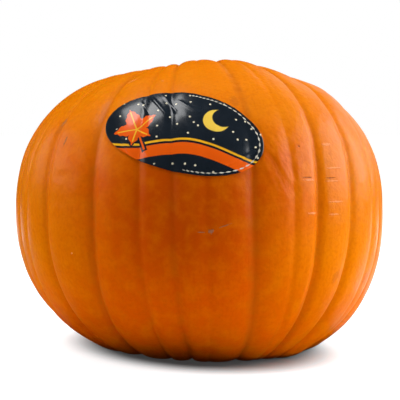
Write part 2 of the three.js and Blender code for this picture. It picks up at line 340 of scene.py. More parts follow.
def skin_towards(directions, groove_share=1.0):
    """The skin's point along each direction from the fruit's middle. It starts from the azimuth and
    elevation of the direction, and turns both back by what the last point missed it by."""
    azimuth, elevation = azimuth_elevation(directions)
    aim_azimuth, aim_elevation = azimuth, elevation
    for _ in range(4):
        height = np.where(aim_elevation >= 0, crown_height, base_height)
        polar = np.arctan2(height * np.cos(aim_elevation), radius * np.sin(aim_elevation))
        points = skin(np.degrees(aim_azimuth), polar, groove_share)
        found_azimuth, found_elevation = azimuth_elevation(points)
        aim_azimuth = aim_azimuth + azimuth - found_azimuth
        aim_elevation = aim_elevation + elevation - found_elevation
    return points


# Marks in the rind, as azimuth, elevation, half length and half width in mm, and turn in degrees.
# Healed scratches are pale and raised, cuts are dark, and old scars are corky and grey.
marks = {
    "pale": [
        (43.4, 11.7, 7.5, 0.6, 0), (34.7, -1.2, 5.8, 0.6, 0), (42.6, -1.7, 5, 0.5, 0),
        (43.6, 1.9, 6, 0.6, 0), (33, 8.2, 5.5, 0.7, 0), (42.3, 7.9, 5.5, 0.6, 0),
        (42.7, 18.9, 4, 1.1, 0), (-34, 47.4, 3.2, 1.0, 40), (-16.4, 45.7, 1.0, 0.8, 0),
        (-40.6, -12.2, 0.8, 0.7, 0), (118, 22, 9, 0.8, 4), (196, -8, 11, 0.9, -3),
        (250, 15, 7, 0.8, 2),
    ],
    "cut": [
        (32.6, 9.0, 4.2, 0.4, 0), (41.7, 8.8, 4.0, 0.4, 0), (31.2, 18.0, 0.8, 0.6, 0),
        (150, 4, 5, 0.5, 3),
    ],
    "corky": [
        (3.2, -5.7, 2.0, 1.6, 0), (0.4, -5.9, 2.6, 0.4, -3), (7.0, -4.2, 4, 0.4, 18),
        (-47, 20.8, 4, 0.9, 82), (-54.6, 28.2, 3.6, 1.0, 80), (172, 30, 4, 2, 60),
        (224, 12, 2, 2, 0),
    ],
    "bruise": [
        (46, -20, 5, 3.2, 60), (66.2, -21.3, 6, 3, 70), (-54.6, 26, 8, 3.5, 80),
        (13.1, 34.1, 3.5, 6, 0), (140, -15, 8, 5, 30), (210, 25, 7, 5, 10),
    ],
}
mark_depth = 6 * mm
wrinkles_at = (23, 14, -64)  # azimuth, elevation and turn, in degrees


def skin_frame(azimuth_degrees, elevation_degrees, turn):
    """A place on the standing skin, and the rotation to axes there that run along, across and out
    of it. Along is level and to the right until it is turned, in degrees."""
    at, north, east = (
        Vector(stand(skin_towards(direction_to(azimuth_degrees + da, elevation_degrees + de))))
        for da, de in ((0, 0), (0, 0.5), (0.5, 0))
    )
    side = (east - at).normalized()
    normal = side.cross(north - at).normalized()
    side = Matrix.Rotation(math.radians(turn), 3, normal) @ side
    return at, Matrix((side, normal.cross(side), normal)).transposed().to_euler()


def mark_cover(tree, place, wobble, kind):
    """How far one kind of mark covers the skin, from 0 to 1. Each mark is the inside of a thin
    ellipsoid that lies along the skin, with an edge that the wobble makes uneven."""
    cover = None
    for mark_azimuth, elevation, half_length, half_width, turn in marks[kind]:
        at, axes = skin_frame(mark_azimuth, elevation, turn)
        inside = add(tree, "Mapping", {
            "Vector": place, "Location": at, "Rotation": axes,
            "Scale": (half_length * mm, half_width * mm, mark_depth),
        }, vector_type="TEXTURE")
        distance = add(tree, "VectorMath", {0: inside}, out=1, operation="LENGTH")
        uneven = add(tree, "Math", {0: distance, 1: wobble}, operation="ADD")
        one = add(tree, "MapRange", {0: uneven, 1: 1.25, 2: 0.55}, interpolation_type="SMOOTHSTEP")
        cover = one if cover is None else add(tree, "Math", {0: cover, 1: one}, operation="MAXIMUM")
    return cover


def rind_material():
    """Waxed squash rind: a hard, slightly translucent skin, coloured by carotenes in its outer
    cells. To the eye it is a saturated orange. Painted light makes it lighter and yellower on the
    lit shoulders and sides than on the face and foot, and painted shade makes the face under the
    film redder and darker. It is browner towards the grooves' floors, partly its own tint and
    partly painted shade, with fine pores and a broad satin highlight."""
    material, tree = new_material("waxy_pumpkin_rind")
    place = add(tree, "TexCoord", {}, out=3)
    along = add(tree, "TexCoord", {}, out=2)
    groove = add(tree, "Attribute", {}, out=2, attribute_name="groove")
    face_middle = (-6 * mm, -138 * mm, 126 * mm)

    # Painted light: how much lighter and yellower it is, from 0 to 1, where the lamps fall on the
    # sides, less towards the foot, and on the shoulders, broken up by clouds 70 mm across.
    sideways = add(tree, "SeparateXYZ", {0: place}, out=0)
    upwards = add(tree, "SeparateXYZ", {0: place}, out=2)
    smooth = {"interpolation_type": "SMOOTHSTEP"}
    lit_right_side = add(tree, "MapRange", {0: sideways, 1: 10 * mm, 2: 110 * mm}, **smooth)
    lit_left_side = add(tree, "MapRange", {0: sideways, 1: -40 * mm, 2: -140 * mm}, **smooth)
    sides = add(tree, "Math", {0: lit_right_side, 1: lit_left_side}, operation="MAXIMUM")
    foot = add(tree, "MapRange", {0: upwards, 1: 15 * mm, 2: 90 * mm, 3: 0.3, 4: 1.0}, **smooth)
    sides = add(tree, "Math", {0: sides, 1: foot}, operation="MULTIPLY")
    lit_shoulders = add(tree, "MapRange", {0: upwards, 1: 108 * mm, 2: 192 * mm}, **smooth)
    lit_yellow = add(tree, "Math", {0: sides, 1: lit_shoulders}, operation="MAXIMUM")
    slow = add(tree, "TexNoise", {"Vector": place, "Scale": 14.0, "Detail": 3.0})
    slow = add(tree, "MapRange", {0: slow, 1: 0.3, 2: 0.7, 3: -0.15, 4: 0.15})
    lit_yellow = add(tree, "Math", {0: lit_yellow, 1: slow}, operation="ADD", use_clamp=True)
    colour = add(tree, "Mix", {0: lit_yellow, 6: srgb("#d65400"), 7: srgb("#e07a00")}, out=2,
                 data_type="RGBA")

    # Painted shade: the face under the film is painted a redder, darker orange.
    off_face = add(tree, "VectorMath", {0: place, 1: face_middle}, out=1, operation="DISTANCE")
    painted_face_shade = add(tree, "MapRange", {0: off_face, 1: 78 * mm, 2: 15 * mm, 4: 0.6}, **smooth)
    colour = add(tree, "Mix", {0: painted_face_shade, 6: colour, 7: srgb("#ae3a00")}, out=2, data_type="RGBA")

    # Mottling about 9 mm across, and pores about 2.5 mm apart.
    mottle = add(tree, "TexNoise", {"Vector": place, "Scale": 110.0, "Detail": 4.0})
    mottle_share = add(tree, "MapRange", {0: mottle, 1: 0.42, 2: 0.7, 4: 0.3})
    colour = add(tree, "Mix", {0: mottle_share, 6: colour, 7: srgb("#e88200")}, out=2,
                 data_type="RGBA")
    pores = add(tree, "TexNoise", {"Vector": place, "Scale": 420.0, "Detail": 3.0})
    pore_share = add(tree, "MapRange", {0: pores, 1: 0.45, 2: 0.7, 4: 0.22})
    colour = add(tree, "Mix", {0: pore_share, 6: colour, 7: srgb("#b84400")}, out=2,
                 data_type="RGBA")

    # Streaks along the lobes, about 1.5 mm wide and 47 mm long.
    streak_place = add(tree, "Mapping", {"Vector": along, "Scale": (560.0, 9.0, 1.0)})
    streak = add(tree, "TexNoise", {"Vector": streak_place, "Scale": 1.0, "Detail": 2.0})
    streak_share = add(tree, "MapRange", {0: streak, 1: 0.5, 2: 0.8, 4: 0.12})
    colour = add(tree, "Mix", {0: streak_share, 6: colour, 7: srgb("#b84a00")}, out=2,
                 data_type="RGBA")

    # Grooves: browner towards their floors, unevenly, partly the rind's own tint and partly painted
    # shade.
    patchy = add(tree, "MapRange", {0: mottle, 1: 0.3, 2: 0.7, 3: 0.5, 4: 1.1})
    groove_share = add(tree, "Math", {0: groove, 1: patchy}, operation="MULTIPLY")
    groove_share = add(tree, "MapRange", {0: groove_share, 1: 0.35, 2: 1.1, 4: 0.4})
    colour = add(tree, "Mix", {0: groove_share, 6: colour, 7: srgb("#a8480e")}, out=2,
                 data_type="RGBA")

    # Marks.
    wobble = add(tree, "TexNoise", {"Vector": place, "Scale": 700.0, "Detail": 2.0})
    wobble = add(tree, "MapRange", {0: wobble, 1: 0.3, 2: 0.7, 3: -0.35, 4: 0.35})
    finishes = {"bruise": ("#a04c1e", 0.32), "corky": ("#7c6a58", 0.6), "pale": ("#f0a070", 0.45),
                "cut": ("#7a2c0c", 0.7)}
    covers = {}
    for kind, (code, most) in finishes.items():
        covers[kind] = mark_cover(tree, place, wobble, kind)
        share = add(tree, "Math", {0: covers[kind], 1: most}, operation="MULTIPLY")
        colour = add(tree, "Mix", {0: share, 6: colour, 7: srgb(code)}, out=2, data_type="RGBA")

    # Wrinkles that slant down to the right beside the film, about 7 mm apart and 24 mm long.
    at, axes = skin_frame(*wrinkles_at)
    creased = add(tree, "Mapping", {
        "Vector": place, "Location": at, "Rotation": axes, "Scale": (24 * mm, 7 * mm, 12 * mm),
    }, vector_type="TEXTURE")
    wrinkle = add(tree, "TexNoise", {"Vector": creased, "Scale": 1.0, "Detail": 1.0})
    wrinkled = add(tree, "Mapping", {
        "Vector": place, "Location": at, "Rotation": axes, "Scale": (34 * mm, 15 * mm, 25 * mm),
    }, vector_type="TEXTURE")
    wrinkled = add(tree, "VectorMath", {0: wrinkled}, out=1, operation="LENGTH")
    wrinkled = add(tree, "MapRange", {0: wrinkled, 1: 1.1, 2: 0.5}, **smooth)
    wrinkle = add(tree, "MapRange", {0: wrinkle, 1: 0.3, 2: 0.7, 3: -1.0, 4: 1.0})
    wrinkle = add(tree, "Math", {0: wrinkle, 1: wrinkled}, operation="MULTIPLY")
    # Painted shade: the sunk troughs of the wrinkles are painted a darker orange.
    share = add(tree, "MapRange", {0: wrinkle, 1: 0.1, 2: 0.9, 4: 0.28})
    colour = add(tree, "Mix", {0: share, 6: colour, 7: srgb("#a83c00")}, out=2, data_type="RGBA")

    # Relief too fine for the mesh: the pores, ripples 5 mm apart, streaks, wrinkles and marks.
    ripples = add(tree, "TexNoise", {"Vector": place, "Scale": 190.0, "Detail": 2.0})
    height = add(tree, "Math", {0: pores, 1: -0.35, 2: ripples}, operation="MULTIPLY_ADD")
    height = add(tree, "Math", {0: streak, 1: 0.15, 2: height}, operation="MULTIPLY_ADD")
    height = add(tree, "Math", {0: wrinkle, 1: -0.9, 2: height}, operation="MULTIPLY_ADD")
    height = add(tree, "Math", {0: covers["pale"], 1: 0.5, 2: height}, operation="MULTIPLY_ADD")
    height = add(tree, "Math", {0: covers["cut"], 1: -0.9, 2: height}, operation="MULTIPLY_ADD")
    height = add(tree, "Math", {0: covers["corky"], 1: 0.8, 2: height}, operation="MULTIPLY_ADD")
    normal = add(tree, "Bump", {"Height": height, "Strength": 0.7, "Distance": 0.5 * mm})

    gloss = add(tree, "MapRange", {0: mottle, 1: 0.3, 2: 0.7, 3: 0.3, 4: 0.4})
    gloss = add(tree, "Math", {0: covers["corky"], 1: 0.3, 2: gloss}, operation="MULTIPLY_ADD")
    shader = add(tree, "BsdfPrincipled", {
        "Base Color": colour, "Roughness": gloss, "IOR": 1.45, "Normal": normal,
        "Specular IOR Level": 0.25, "Subsurface Weight": 0.1,
        "Subsurface Radius": (1.0, 0.35, 0.08), "Subsurface Scale": 3 * mm,
    })
    add(tree, "OutputMaterial", {"Surface": shader})
    return material


fruit.data.materials.append(rind_material())
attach(fruit, "root")
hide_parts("fruit")

# ---------------------------------------------------------------- the stem
# The stub of the vine that a picked pumpkin keeps: five woody ridges that spread into the skin at
# the foot, dried hard, and cut across with a knife so that the end shows pale, torn fibre.

stem_height = 23 * mm
stem_foot, stem_waist, stem_cut = 16 * mm, 10.5 * mm, 12.5 * mm
foot_spread, foot_falloff = 3 * mm, 6  # how much wider it starts, and how fast it narrows
stem_sunk = 5 * mm  # the foot reaches this far under the skin
stem_lean = math.radians(6)
stem_ridges, ribs_per_ridge = 5, 4
stem_turn = 0.35  # radians that the ridges turn over its height
round_over = 1.2 * mm  # of the cut edge
cut_dish = 2 * mm  # how far the middle of the cut end lies below its edge
ridge_relief, foot_relief, rib_relief = 0.20, 0.18, 0.035  # as shares of the radius
foot_relief_height = 5 * mm  # the ridges are stronger below about this height
furrow_size, furrow_relief = 2.2 * mm, 0.05  # fine furrows, also as a share of the radius
torn_size, torn_height, torn_from = 1.5 * mm, 0.35 * mm, 0.97  # the end's torn fibres
fibre_stretch = 0.3  # the share of the height that both of these noises see, so they run upwards

# The outline goes up the side, from a foot that narrows exponentially to a cut end that widens with
# the square of the height, and then over the rounded edge to the middle of the dished end.
side_rows, end_rows, stem_columns = 90, 26, 360
climb = np.linspace(0, 1, side_rows)
side_out = stem_waist + (stem_foot + foot_spread - stem_waist) * np.exp(-climb * foot_falloff)
side_out += (stem_cut - stem_waist) * climb**2
side_up = -stem_sunk + (stem_height + stem_sunk) * climb
fall = np.linspace(0, 1, end_rows + 1)[1:-1]
end_out = (side_out[-1] - round_over) * (1 - fall) + round_over * (1 - fall) ** 8
end_up = stem_height + round_over * (1 - (1 - fall) ** 6) * 0.5 - cut_dish * fall**1.5
stem_out = np.concatenate([side_out, end_out])[:, None]
stem_up = np.concatenate([side_up, end_up])[:, None]
stem_angle = (2 * np.pi * np.arange(stem_columns) / stem_columns)[None, :]
stem_twist = stem_angle + stem_turn * stem_up / stem_height
ridge = (0.5 + 0.5 * np.cos(stem_ridges * stem_twist)) ** 0.8
ribs = 0.5 + 0.5 * np.cos(ribs_per_ridge * stem_ridges * stem_twist + 1.0)
flare = np.exp(-np.clip(stem_up, 0, None) / foot_relief_height)
shape_scale = 1 + (ridge_relief + foot_relief * flare) * (ridge - 0.5) + rib_relief * ribs
round_points = np.stack(np.broadcast_arrays(
    stem_out * np.cos(stem_angle), stem_out * np.sin(stem_angle), stem_up * fibre_stretch),
    axis=-1)
shape_scale = shape_scale + furrow_relief * cloud(round_points, furrow_size, 11)
out = stem_out * shape_scale
torn = torn_height * cloud(round_points, torn_size, 12) * (stem_up > stem_height * torn_from)
up = stem_up + torn


def stem_to_fruit(out, angle, up):
    """From round the stem's own axis to the floor of the hollow: leaned back, then lifted."""
    x, y = out * np.cos(angle), out * np.sin(angle)
    y, z = (y * math.cos(stem_lean) + up * math.sin(stem_lean),
            up * math.cos(stem_lean) - y * math.sin(stem_lean))
    floor = crown_height - stem_hollow_depth
    x, y, z = x + crown_shift[0], y + crown_shift[1], z + floor
    return stand(np.stack(np.broadcast_arrays(x, y, z), axis=-1))


stem_points = stem_to_fruit(out, stem_angle, up)
stem_ends = [stem_to_fruit(0.0, 0.0, -stem_sunk), stem_to_fruit(0.0, 0.0, up[-1].mean())]
stem_uv = np.stack(np.meshgrid(np.linspace(0, 1, stem_columns + 1),
                               np.linspace(0, 1, len(stem_out))), axis=-1)
stem = surface("stem_stub", stem_points[:, ::-1], stem_uv, around=True, ends=stem_ends)
is_cut = np.zeros_like(out)
is_cut[side_rows:] = 1
attribute(stem, "cut_end", np.append(is_cut[:, ::-1].ravel(), [0, 1]))
attribute(stem, "valley", np.append((1 - ridge * np.ones_like(out))[:, ::-1].ravel(), [0, 0]))


def stem_material():
    """Dried vine stem: weathered plant fibre, matte and lightly furrowed along its length. It is
    straw-grey on the ridges, olive-brown and painted darker as shade in the valleys, and paler
    and speckled on the cut end."""
    material, tree = new_material("dry_vine_stem")
    place = add(tree, "TexCoord", {}, out=3)
    along = add(tree, "TexCoord", {}, out=2)
    cut_end = add(tree, "Attribute", {}, out=2, attribute_name="cut_end")
    valley = add(tree, "Attribute", {}, out=2, attribute_name="valley")

    # Fibres about 0.8 mm wide that run up the stub.
    fibre_place = add(tree, "Mapping", {"Vector": along, "Scale": (90.0, 5.0, 1.0)})
    fibre = add(tree, "TexNoise", {"Vector": fibre_place, "Scale": 1.0, "Detail": 4.0})
    grey = add(tree, "MapRange", {0: fibre, 1: 0.35, 2: 0.7})
    colour = add(tree, "Mix", {0: grey, 6: srgb("#6f6238"), 7: srgb("#a5966a")}, out=2,
                 data_type="RGBA")
    # Painted shade: the valleys between the ridges are painted a darker olive-brown.
    shade = add(tree, "MapRange", {0: valley, 1: 0.3, 2: 1.0, 4: 0.65})
    colour = add(tree, "Mix", {0: shade, 6: colour, 7: srgb("#4f4a26")}, out=2, data_type="RGBA")
    grain = add(tree, "TexNoise", {"Vector": place, "Scale": 900.0, "Detail": 4.0})
    speckle = add(tree, "MapRange", {0: grain, 1: 0.35, 2: 0.7})
    end_colour = add(tree, "Mix", {0: speckle, 6: srgb("#8d7a4e"), 7: srgb("#c9b888")}, out=2,
                     data_type="RGBA")
    colour = add(tree, "Mix", {0: cut_end, 6: colour, 7: end_colour}, out=2, data_type="RGBA")

    height = add(tree, "Math", {0: grain, 1: 0.5, 2: fibre}, operation="MULTIPLY_ADD")
    normal = add(tree, "Bump", {"Height": height, "Strength": 0.8, "Distance": 0.5 * mm})
    shader = add(tree, "BsdfPrincipled", {
        "Base Color": colour, "Roughness": 0.85, "IOR": 1.45, "Normal": normal,
    })
    add(tree, "OutputMaterial", {"Surface": shader})
    return material


stem.data.materials.append(stem_material())
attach(stem, "root")
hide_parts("stem")

# ---------------------------------------------------------------- the label
# A glossy plastic film, printed on the inside and stuck on by hand. It follows the lobes, bridges
# the grooves a little, and has a few creases where a flat film can't bend two ways.

label_azimuth, label_elevation, label_tilt = -10, 23.3, math.radians(-11.7)
label_half_length, label_half_height = 56.2, 30.8  # mm
label_egg, label_corners = (0.15, 0.156), (0.02, 0.01)  # unevenness, as shares of the reach
label_spread = 135  # mm, the radius of the ball that the flat film is bent round
label_sheet = 150.0  # mm, the side of the square that its UV map covers
film_thickness = 0.2 * mm
film_lift = 0.15 * mm  # from the skin to the film's back, between the dents and the creases
film_groove_share = 0.85  # how much of the grooves' depth the film follows
crease_fade = 3  # mm over which a crease runs out beyond its ends
label_rows, label_columns = 120, 220

# Creases, as the two ends on the flat film in mm, their height in mm and half width in mm.
creases = [
    ((-12, 27), (-2, 14), 0.5, 1.1), ((-4, 29), (4, 17), 0.4, 1.0),
    ((-20, 24), (-15, 16), 0.35, 0.9), ((44, 20), (33, 3), 0.4, 0.8),
    ((58, -12), (44, -22), 0.45, 0.8), ((38, 24), (34, 12), 0.3, 0.9),
    ((-30, -6), (-22, -20), 0.3, 1.2), ((-16, -12), (-6, -24), 0.25, 1.0),
    ((8, 24), (20, 15), 0.3, 1.2),
]


def label_reach(angle):
    """The outline in mm: an ellipse in polar form, made uneven by low harmonics."""
    oval = 1 / np.hypot(np.cos(angle) / label_half_length, np.sin(angle) / label_half_height)
    egg = label_egg[0] * np.cos(angle) + label_egg[1] * np.sin(angle)
    corners = label_corners[0] * np.cos(3 * angle) + label_corners[1] * np.sin(3 * angle)
    return oval * (1 + egg + corners)


def label_direction(right, up):
    """The direction from the fruit's middle of a place on the flat film: its distance from the
    label's middle, over the spread, is the angle that it has turned away."""
    outward = direction_to(label_azimuth, label_elevation)
    a = np.radians(label_azimuth)
    rightward = np.array([math.cos(a), math.sin(a), 0])
    upward = np.cross(outward, rightward)
    along = right[..., None] * rightward + up[..., None] * upward
    length = np.maximum(np.linalg.norm(along, axis=-1, keepdims=True), 1e-9)
    bend = length / label_spread
    return outward * np.cos(bend) + along / length * np.sin(bend)


def crease_height(right, up):
    """Height of the creases in mm. Each is a ridge with a bell-shaped section along a line."""
    height = np.zeros_like(right)
    for (x0, y0), (x1, y1), ridge_height, half_width in creases:
        length = math.hypot(x1 - x0, y1 - y0)
        along = ((right - x0) * (x1 - x0) + (up - y0) * (y1 - y0)) / length
        across = ((right - x0) * (y1 - y0) - (up - y0) * (x1 - x0)) / length
        beyond = np.maximum(np.maximum(-along, along - length), 0)
        section = (across / half_width) ** 2 + (beyond / crease_fade) ** 2
        height += ridge_height * np.exp(-section)
    return height


# A square grid is rounded to a disc, then stretched to the outline.
s, t = np.meshgrid(np.linspace(-1, 1, label_columns), np.linspace(-1, 1, label_rows))
disc_x, disc_y = s * np.sqrt(1 - t**2 / 2), t * np.sqrt(1 - s**2 / 2)
disc_angle, disc_share = np.arctan2(disc_y, disc_x), np.hypot(disc_x, disc_y)
reach = label_reach(disc_angle)
right = disc_share * reach * np.cos(disc_angle + label_tilt)
up = disc_share * reach * np.sin(disc_angle + label_tilt)
towards = label_direction(right, up)
bridged = skin_towards(towards, film_groove_share)
lift = film_lift + crease_height(right, up) * mm
label_points = bridged + towards * lift[..., None]
label_uv = np.stack([right, up], axis=-1) / label_sheet + 0.5
label = surface("film_label", stand(label_points), label_uv)
attribute(label, "edge_mm", (1 - disc_share) * reach)
film = label.modifiers.new("thickness", "SOLIDIFY")
film.thickness = film_thickness
film.offset = -1


def label_material():
    """Printed plastic film, smooth as it was cast, so it reflects the lights sharply. The print is
    a night blue with an orange leaf and ribbon, an amber crescent and line, and cream dots. Each
    shape is a distance in mm on the flat film that one MapRange turns into an inked area."""
    material, tree = new_material("printed_film")
    film = add(tree, "VectorMath", {
        0: add(tree, "TexCoord", {}, out=2), 1: (label_sheet, label_sheet, 0.0),
        2: (-label_sheet / 2, -label_sheet / 2, 0.0),
    }, operation="MULTIPLY_ADD")
    x = add(tree, "SeparateXYZ", {0: film}, out=0)
    y = add(tree, "SeparateXYZ", {0: film}, out=1)
    edge = add(tree, "Attribute", {}, out=2, attribute_name="edge_mm")
    place = add(tree, "TexCoord", {}, out=3)
    scuff = add(tree, "TexNoise", {"Vector": place, "Scale": 60.0, "Detail": 3.0})
    night = add(tree, "Mix", {0: scuff, 6: srgb("#151b21"), 7: srgb("#202831")}, out=2,
                data_type="RGBA")

    # Cream dots, one in each cell of a scattered lattice 10 mm wide.
    dots = add(tree, "TexVoronoi", {"Vector": film, "Scale": 0.1, "Randomness": 0.8},
               voronoi_dimensions="2D")
    inked = add(tree, "MapRange", {0: dots, 1: 0.085, 2: 0.055})
    colour = add(tree, "Mix", {0: inked, 6: night, 7: srgb("#efe4c4")}, out=2, data_type="RGBA")

    # A ribbon that waves across the foot of the film, with an amber line above it.
    wave = add(tree, "Math", {0: x, 1: 0.07, 2: 0.4}, operation="MULTIPLY_ADD")
    wave = add(tree, "Math", {0: wave}, operation="SINE")
    wave = add(tree, "Math", {0: wave, 1: -3.4, 2: y}, operation="MULTIPLY_ADD")
    wave = add(tree, "Math", {0: x, 1: 0.1, 2: wave}, operation="MULTIPLY_ADD")
    off_ribbon = add(tree, "Math", {0: wave, 1: 15.0}, operation="ADD")
    off_ribbon = add(tree, "Math", {0: off_ribbon}, operation="ABSOLUTE")
    clear = add(tree, "MapRange", {0: off_ribbon, 1: 9.2, 2: 8.8})
    colour = add(tree, "Mix", {0: clear, 6: colour, 7: night}, out=2, data_type="RGBA")
    inked = add(tree, "MapRange", {0: off_ribbon, 1: 4.2, 2: 3.8})
    colour = add(tree, "Mix", {0: inked, 6: colour, 7: srgb("#f2600f")}, out=2, data_type="RGBA")
    off_line = add(tree, "Math", {0: wave, 1: 8.6}, operation="ADD")
    off_line = add(tree, "Math", {0: off_line}, operation="ABSOLUTE")
    inked = add(tree, "MapRange", {0: off_line, 1: 0.95, 2: 0.65})
    colour = add(tree, "Mix", {0: inked, 6: colour, 7: srgb("#f4b41f")}, out=2, data_type="RGBA")

    # A crescent: one disc less another.
    off_moon = add(tree, "VectorMath", {0: film, 1: (33.0, 9.0, 0.0)}, out=1, operation="DISTANCE")
    off_bite = add(tree, "VectorMath", {0: film, 1: (37.5, 11.5, 0.0)}, out=1, operation="DISTANCE")
    clear = add(tree, "MapRange", {0: off_moon, 1: 11.2, 2: 10.8})
    colour = add(tree, "Mix", {0: clear, 6: colour, 7: night}, out=2, data_type="RGBA")
    off_bite = add(tree, "Math", {0: 16.5, 1: off_bite}, operation="SUBTRACT")
    off_moon = add(tree, "Math", {0: off_moon, 1: off_bite}, operation="MAXIMUM")
    inked = add(tree, "MapRange", {0: off_moon, 1: 9.2, 2: 8.8})
    colour = add(tree, "Mix", {0: inked, 6: colour, 7: srgb("#f7cf4e")}, out=2, data_type="RGBA")

    # A leaf of five pointed lobes, longest at its tip, with amber veins and a stalk.
    leaf = add(tree, "Mapping", {
        "Vector": film, "Location": (-21.0, 2.0, 0.0), "Rotation": (0.0, 0.0, math.radians(24)),
    }, vector_type="TEXTURE")
    leaf_x = add(tree, "SeparateXYZ", {0: leaf}, out=0)
    leaf_y = add(tree, "SeparateXYZ", {0: leaf}, out=1)
    from_heart = add(tree, "VectorMath", {0: leaf}, out=1, operation="LENGTH")
    turned = add(tree, "Math", {0: leaf_x, 1: leaf_y}, operation="ARCTAN2")
    turned = add(tree, "Math", {0: turned, 1: math.tau}, operation="ADD")
    off_axis = add(tree, "Math", {0: turned, 1: math.tau / 10}, operation="PINGPONG")
    shoulder = add(tree, "Math", {0: off_axis, 1: 10 / math.tau}, operation="MULTIPLY")
    shoulder = add(tree, "Math", {0: shoulder, 1: 0.75}, operation="POWER")
    shoulder = add(tree, "Math", {0: shoulder, 1: -0.5, 2: 1.0}, operation="MULTIPLY_ADD")
    lobe_length = add(tree, "Math", {0: turned}, operation="COSINE")
    lobe_length = add(tree, "Math", {0: lobe_length, 1: 4.0, 2: 15.2}, operation="MULTIPLY_ADD")
    serration = add(tree, "Math", {0: from_heart, 1: 1.7}, operation="MULTIPLY")
    serration = add(tree, "Math", {0: serration}, operation="SINE")
    outline = add(tree, "Math", {0: lobe_length, 1: shoulder}, operation="MULTIPLY")
    outline = add(tree, "Math", {0: serration, 1: 0.45, 2: outline}, operation="MULTIPLY_ADD")
    off_leaf = add(tree, "Math", {0: from_heart, 1: outline}, operation="SUBTRACT")
    beside = add(tree, "Math", {0: leaf_x}, operation="ABSOLUTE")
    along_stalk = add(tree, "Math", {0: leaf_y, 1: 8.5}, operation="ADD")
    along_stalk = add(tree, "Math", {0: along_stalk}, operation="ABSOLUTE")
    along_stalk = add(tree, "Math", {0: along_stalk, 1: 8.5}, operation="SUBTRACT")
    off_stalk = add(tree, "Math", {0: beside, 1: 0.7}, operation="SUBTRACT")
    off_stalk = add(tree, "Math", {0: off_stalk, 1: along_stalk}, operation="MAXIMUM")
    off_leaf = add(tree, "Math", {0: off_leaf, 1: off_stalk}, operation="MINIMUM")
    clear = add(tree, "MapRange", {0: off_leaf, 1: 1.5, 2: 1.1})
    colour = add(tree, "Mix", {0: clear, 6: colour, 7: night}, out=2, data_type="RGBA")
    inked = add(tree, "MapRange", {0: off_leaf, 1: 0.2, 2: -0.2})
    colour = add(tree, "Mix", {0: inked, 6: colour, 7: srgb("#ef5d0d")}, out=2, data_type="RGBA")
    off_vein = add(tree, "Math", {0: off_axis}, operation="SINE")
    off_vein = add(tree, "Math", {0: off_vein, 1: from_heart}, operation="MULTIPLY")
    inner = add(tree, "Math", {0: off_leaf, 1: 2.4}, operation="ADD")
    off_vein = add(tree, "Math", {0: off_vein, 1: inner}, operation="MAXIMUM")
    inked = add(tree, "MapRange", {0: off_vein, 1: 0.6, 2: 0.25})
    colour = add(tree, "Mix", {0: inked, 6: colour, 7: srgb("#f6bd2c")}, out=2, data_type="RGBA")

    # A row of cream dashes inside the cut edge at the right-hand end.
    off_rim = add(tree, "Math", {0: edge, 1: 2.6}, operation="SUBTRACT")
    off_rim = add(tree, "Math", {0: off_rim}, operation="ABSOLUTE")
    dashes = add(tree, "Math", {0: y, 1: x}, operation="ARCTAN2")
    dashes = add(tree, "Math", {0: dashes, 1: 90.0}, operation="MULTIPLY")
    dashes = add(tree, "Math", {0: dashes}, operation="SINE")
    off_rim = add(tree, "Math", {0: dashes, 1: 0.3, 2: off_rim}, operation="MULTIPLY_ADD")
    at_end = add(tree, "MapRange", {0: x, 1: 12.0, 2: 14.0})
    inked = add(tree, "MapRange", {0: off_rim, 1: 0.45, 2: 0.15})
    inked = add(tree, "Math", {0: inked, 1: at_end}, operation="MULTIPLY")
    colour = add(tree, "Mix", {0: inked, 6: colour, 7: srgb("#d9d2c0")}, out=2, data_type="RGBA")

    # The film ripples every 8 mm, and scuffs 17 mm across dull it.
    ripple = add(tree, "TexNoise", {"Vector": place, "Scale": 120.0, "Detail": 2.0})
    normal = add(tree, "Bump", {"Height": ripple, "Strength": 0.3, "Distance": 0.3 * mm})
    gloss = add(tree, "MapRange", {0: scuff, 1: 0.3, 2: 0.7, 3: 0.16, 4: 0.28})
    shader = add(tree, "BsdfPrincipled", {
        "Base Color": colour, "Roughness": gloss, "IOR": 1.5, "Normal": normal,
        "Coat Weight": 0.6, "Coat Roughness": 0.12,
    })
    add(tree, "OutputMaterial", {"Surface": shader})
    return material


label.data.materials.append(label_material())
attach(label, "root")
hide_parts("front_label")

# ---------------------------------------------------------------- the floor and the light
# A white opal sheet on a light table, in a studio. A broad soft panel to the right gives the wide
# highlight, with weaker ones to the left, above and behind. Filtered fills and the table light the
# fruit from all round, and the unfiltered parts of the table behind it give its rim a sheen.

floor_half = 4.0
# The oval where the floor's glow is taken out paints the fruit's shadow: its turn and stretch, and
# the radii where the glow starts to rise and is full.
mask_turn, mask_stretch = math.radians(35), (0.922, 1.246, 1.0)
mask_radius, glow_radius = 71 * mm, 108 * mm
steps = np.linspace(-floor_half, floor_half, 9)
floor_x, floor_y = np.meshgrid(steps, steps)
floor_points = np.stack([floor_x, floor_y, np.zeros_like(floor_x)], axis=-1)
floor = surface("floor", floor_points, floor_points[..., :2] / (2 * floor_half) + 0.5)


